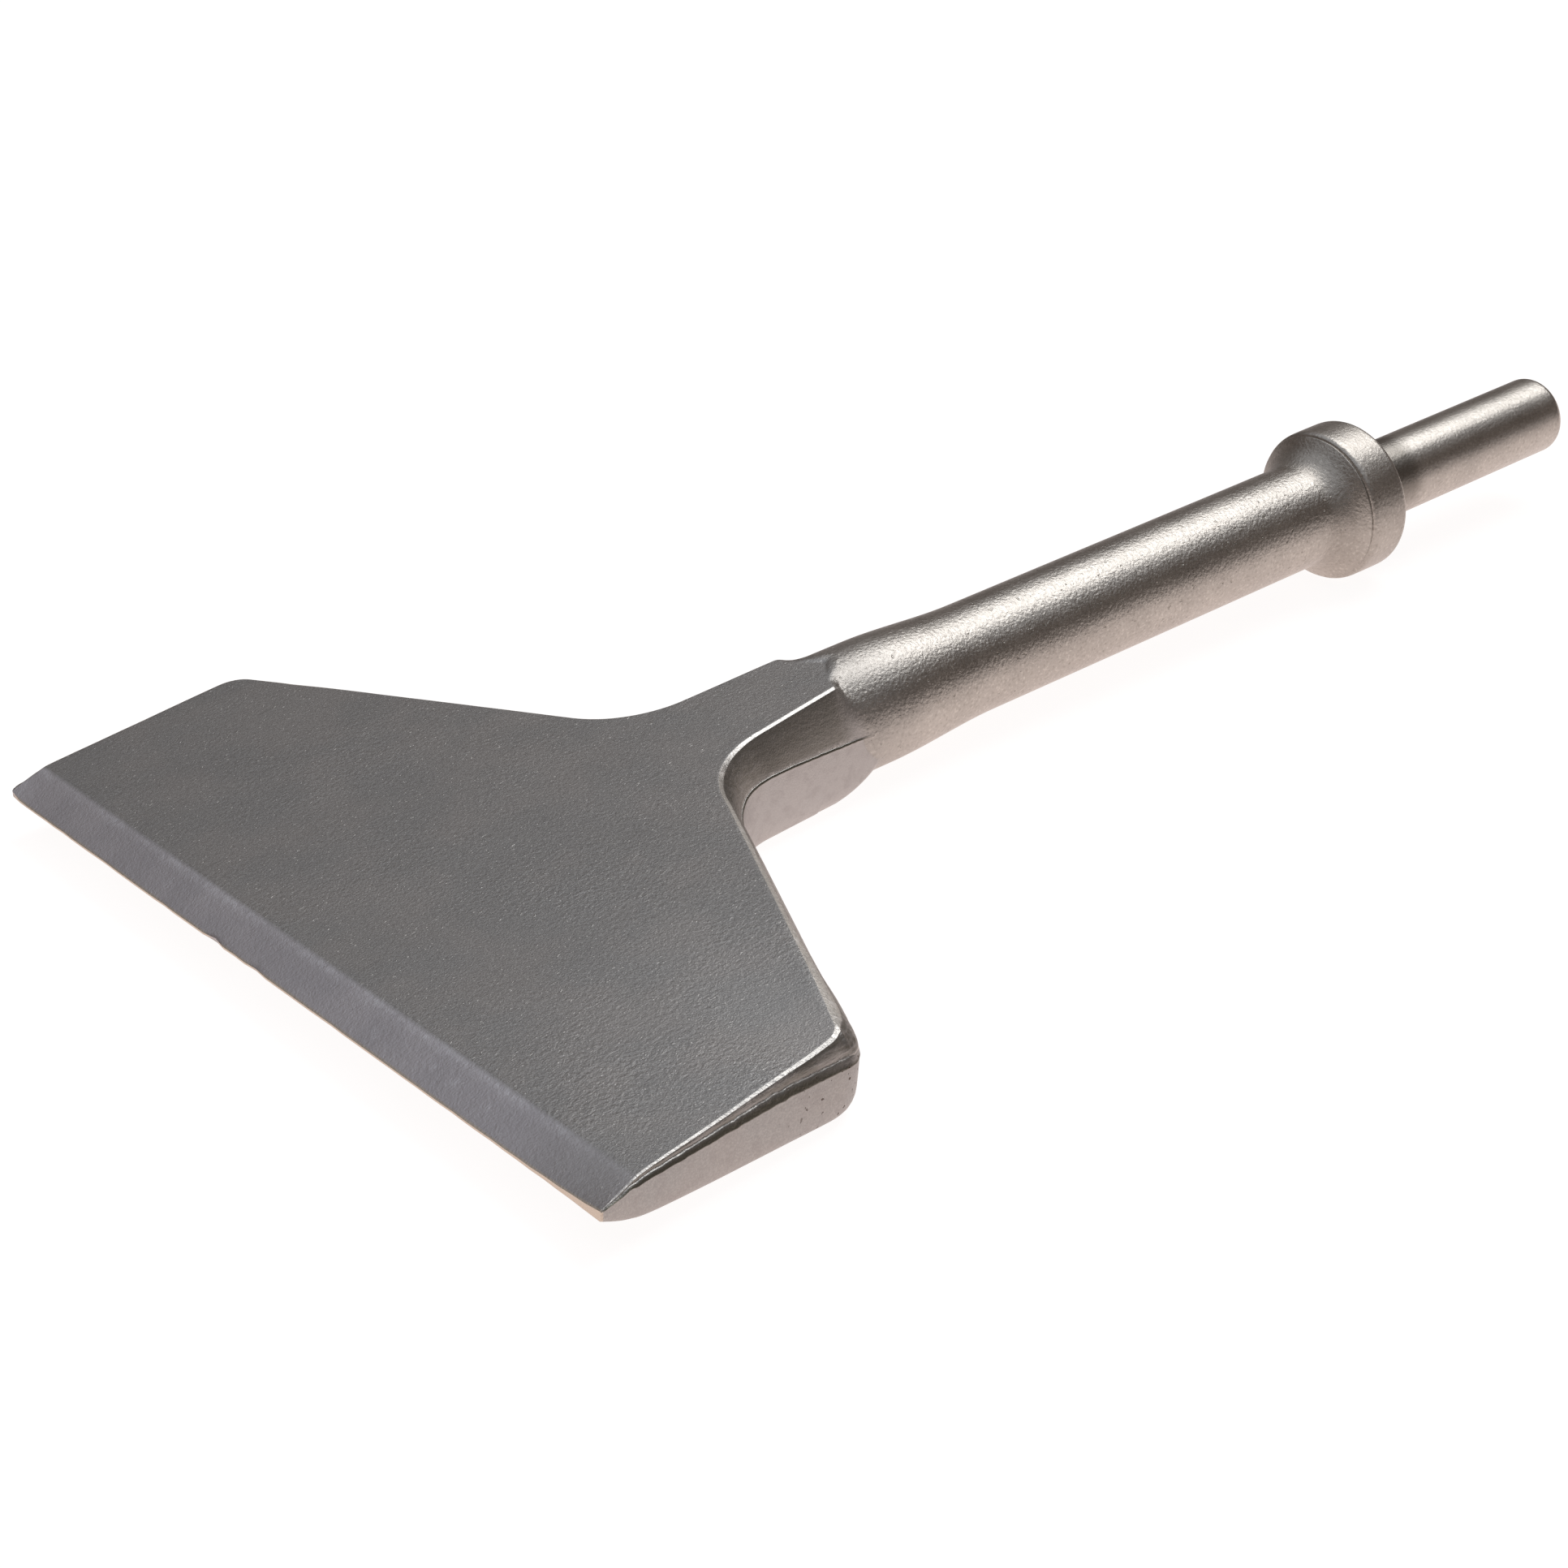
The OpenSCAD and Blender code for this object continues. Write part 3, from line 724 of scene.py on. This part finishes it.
# Cutting edge. The front strip of the same steel, ground after forging: a long bevel on the top, a
# short one underneath and a blunt land between them, with fine grinding lines and scuffs of use.
ground_tone, ground_pale = (0.56, 0.537, 0.555, 1), (0.61, 0.583, 0.6, 1)
ground_dark = (0.45, 0.433, 0.45, 1)
scuff_tone, land_tone = (0.82, 0.81, 0.84, 1), (0.62, 0.545, 0.46, 1)
worn_tip = (-97, -66, 0.35, 1.0)
ground_steel, place = new_finish("ground_steel")
along, across = axis_of(place, "X"), axis_of(place, "Y")
forged_tone, forged_rough, forged_height = forged_finish(place)
grain = mottle(place, scale=2.4, detail=2)
cloud = mottle(place, scale=0.08, detail=3)
pebble = mottle(place, scale=0.9, detail=3)
scuff = between(mottle(place, scale=0.4, detail=4), 0.6, 0.72)
on_land = between(along, edge_front + 0.5, edge_front + 0.15)
bevel = marked(place.tree, "face") * between(along, bevel_start + 0.3, bevel_start - 0.9)
bevel = bevel * between(across, *worn_tip)
rear_line = between(along, bevel_start - 2.6, bevel_start - 0.7) * between(pebble, 0.36, 0.62, 0.3, 1.0)
rear_line = rear_line * between(mottle(place, scale=0.07, detail=1), 0.36, 0.6, 0.35, 1.0)
tone = blend_colour(between(cloud, 0.35, 0.65), ground_tone, ground_pale)
tone = blend_colour(between(pebble, 0.42, 0.3) * 0.25, tone, ground_dark)
tone = blend_colour(scuff * 0.35 + rear_line * 0.62, tone, scuff_tone)
tone = blend_colour(bevel, forged_tone, tone)
tone = blend_colour(on_land, tone, land_tone)
rough = forged_rough + (0.47 + (grain - 0.5) * 0.12 - scuff * 0.06 - forged_rough) * bevel
lay_on(ground_steel, tone, rough, forged_height + (grain * 0.06 + pebble * 0.06 - forged_height) * bevel)

cutting_edge = closed_skin("ground_edge", forging, 0, bevel_row + 1, marks)
cutting_edge.data.materials.append(ground_steel)
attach(cutting_edge, "root")
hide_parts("cutting_edge")


# Neck. The block of the forging between the shoulder fillets and the round bar. Its corners stand out
# past the bar and are run down to it, and the bar rises out of its top flat and its side walls.
swell_radius = 12.6
run_radius, run_length, run_rise = 35.46, 14.5, 3.1

# Angles round the bar from its top, in degrees, and the places past the flat where the upper block
# leaves its own form and how far on it has joined the bar, with more of it on the left hand. Below, the
# block is run down over a reach and the bar falls away into it.
leave_turns, leave_places = (0, 3, 10, 20, 30, 34, 40, 60, 90), (3.7, 3.5, 2.4, 0.8, -0.6, -1, -1.6, -2.5, 0)
join_turns, join_lengths = (0, 12, 22, 30, 36, 42, 50, 60, 90), (3, 2.8, 2.6, 2.4, 2.4, 3.2, 5, 6.5, 5.5)
left_turns, left_lengths = (8, 20, 40, 60), (0, 1.8, 1.8, 0)
under_turns, under_reaches = (90, 128, 180), (5.3, 6.8, 8.2)
bar_turns, bar_reaches, bar_fall = (90, 180), (5.3, 6.5), 0.3


def run_out(rings):
    """The neck's cross-sections with their corners run down to the bar and the bar risen out of them,
    and how far each point belongs to the bar."""
    x, y, z = rings[..., 0], rings[..., 1], rings[..., 2]
    radius, turn = np.hypot(y, z), np.degrees(np.arctan2(np.abs(y), z))
    past = x - flat_end
    left = np.clip(np.interp(turn, under_turns, under_reaches) - past, 0, run_length)
    under_limit = swell_radius + np.sqrt(run_radius**2 - (run_length - left) ** 2) - (run_radius - run_rise)
    under_block = np.minimum(radius, under_limit)
    under_bar = swell_radius - np.maximum(np.interp(turn, bar_turns, bar_reaches) - past, 0) * bar_fall
    on_wall = ease(turn, 27, 42)
    leaves = np.interp(turn, leave_turns, leave_places)
    joins = leaves + np.interp(turn, join_turns, join_lengths)
    joins = joins + np.where(y > 0, np.interp(turn, left_turns, left_lengths), 0)
    over = np.clip((past - leaves) / (joins - leaves), 0, 1)
    over = over * (1.5 - 0.5 * over) * (1 - on_wall) + ease(over, 0, 1) * on_wall
    upper = radius + (swell_radius - radius) * over
    joined = np.where(turn < 90, upper, np.maximum(under_block, under_bar))
    joined = np.where(past > nose_length - 0.01, swell_radius, joined)
    scale = np.where(past < -9, 1, joined / np.maximum(radius, 1e-6))
    on_bar = np.where(turn < 90, ease(over, 0.05, 1), ease(under_bar - under_block, -0.12, 0.06))
    on_bar = np.where(past > nose_length - 0.3, 1, on_bar) * (past > -2)
    return np.stack([x, y * scale, z * scale], 2), on_bar


neck_rings, marks["bar"] = run_out(forging)
neck = closed_skin("forged_neck", neck_rings, neck_row, len(blade_places) - 1, marks)
neck.data.materials.append(blade_steel)
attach(neck, "root")
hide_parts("neck")


# Shank. The round bar of the same forging, blasted, with the swell next to the neck and a slow taper
# from it. Its skin has the fine orange peel of blasted bar.
shank_radius = 11.25
flare_start = -20.2
taper_start, taper_end = flat_end + 13, flat_end + 40
ring_points = 128


def turned_rings(x, radius):
    """Rings of a turned form round the tool's axis."""
    angle = np.linspace(0, 2 * math.pi, ring_points, endpoint=False)[None, :]
    x, radius = np.asarray(x, float)[:, None], np.asarray(radius, float)[:, None]
    return np.stack([x + 0 * angle, radius * np.cos(angle), radius * np.sin(angle)], 2)


shank_steel, place = new_finish("shank_steel")
lay_on(shank_steel, *bar_finish(place))

shank_places = np.concatenate([
    [shank_start - 0.5], np.arange(shank_start, flare_start, 1.0), [flare_start, flare_start + 0.5]])
tapered = ease(shank_places, taper_start, taper_end)
shank_rings = turned_rings(shank_places, swell_radius - (swell_radius - shank_radius) * tapered)
shank = closed_skin("round_shank", shank_rings, 1, len(shank_places) - 1, {})
shank.data.materials.append(shank_steel)
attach(shank, "root")
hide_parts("shank")


# Collar. Upset from the bar and turned: a hollow flare runs into the front cone, a fine step marks its
# edge, and the rim behind it carries the hammer's retainer.
rim_radius, rim_front, rim_rear, rear_round = 16.59, -12.4, -2.0, 1.2
flare_radius, cone_lean, cone_end_radius, cone_end = 8, math.radians(50), 15.75, rim_front - 0.35
root_radius, drive_radius = 2, 8.635
cone_start = flare_start + flare_radius * math.sin(cone_lean)
cone_radius = shank_radius + flare_radius * (1 - math.cos(cone_lean))
hollow_painted_shade = (0.28, 0.25, 0.22, 1)

# Places along the axis and radii, from the bar to the drive shank
flare = [(flare_start + flare_radius * math.sin(a), shank_radius + flare_radius * (1 - math.cos(a)))
         for a in np.linspace(0, cone_lean, 12)]
cone = [(cone_start + (cone_end - cone_start) * s, cone_radius + (cone_end_radius - cone_radius) * s)
        for s in (0.25, 0.5, 0.75, 1)]
step = [(rim_front + x, r) for x, r in (
    (-0.25, 15.86), (-0.1, 15.82), (-0.02, 15.5), (0.1, 15.5), (0.22, 15.95), (0.4, 16.18),
    (0.7, 16.38), (1.1, 16.5), (1.7, 16.56))]
rim = [(rim_front + 4, rim_radius), (rim_front + 6.5, rim_radius), (rim_rear - 1.4, 16.58)]
rim_end = [(rim_rear - rear_round * (1 - math.sin(a)), rim_radius - rear_round * (1 - math.cos(a)) - 0.03)
           for a in np.linspace(0, math.pi / 2, 8)]
seat = [(rim_rear, r) for r in (14.5, 13.2, 12, 11.2)]
root = [(rim_rear + root_radius * (1 - math.cos(a)), drive_radius + root_radius * (1 - math.sin(a)))
        for a in np.linspace(0, math.pi / 2, 10)]
collar_profile = np.array(
    [(flare_start - 0.5, shank_radius)] + flare + cone + step + rim + rim_end + seat + root
    + [(0.5, drive_radius)])
collar_rings = turned_rings(collar_profile[:, 0], collar_profile[:, 1])
collar = closed_skin("upset_collar", collar_rings, 1, len(collar_profile) - 1, {})

collar_steel, place = new_finish("collar_steel")
tone, rough, height = bar_finish(place)
along = axis_of(place, "X")
# Painted shade: the whole collar is a little darker, and the hollow of the flare darker still, which damps
# its highlight.
hollow = between(along, flare_start - 0.5, flare_start + 2)
hollow = hollow * between(along, rim_front - 0.8, rim_front - 3.1)
tone = blend_colour(0.12 + hollow * 0.12, tone, hollow_painted_shade)
lay_on(collar_steel, tone, rough + 0.03 + hollow * 0.08, height * 1.3)
collar.data.materials.append(collar_steel)
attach(collar, "root")
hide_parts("collar")


# Drive shank. The plain round end that slides in the hammer's nozzle, turned to size and rounded over
# at the struck end.
drive_length, drive_round = 60.7, 2.2
plain = [(x, drive_radius) for x in np.linspace(0, drive_length - drive_round - 1, 40)]
struck_round = [
    (drive_length - drive_round * (1 - math.sin(a)), drive_radius - drive_round * (1 - math.cos(a)))
    for a in np.linspace(0, math.pi / 2, 12)]
struck_flat = [(drive_length, r) for r in (5.5, 4, 2.5, 1, 0.3)]
drive_profile = np.array([(-0.5, drive_radius)] + plain + struck_round + struck_flat)
drive_rings = turned_rings(drive_profile[:, 0], drive_profile[:, 1])
drive_shank = closed_skin("drive_end", drive_rings, 1, len(drive_profile), {})
drive_shank.data.materials.append(shank_steel)
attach(drive_shank, "root")
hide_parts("drive_shank")
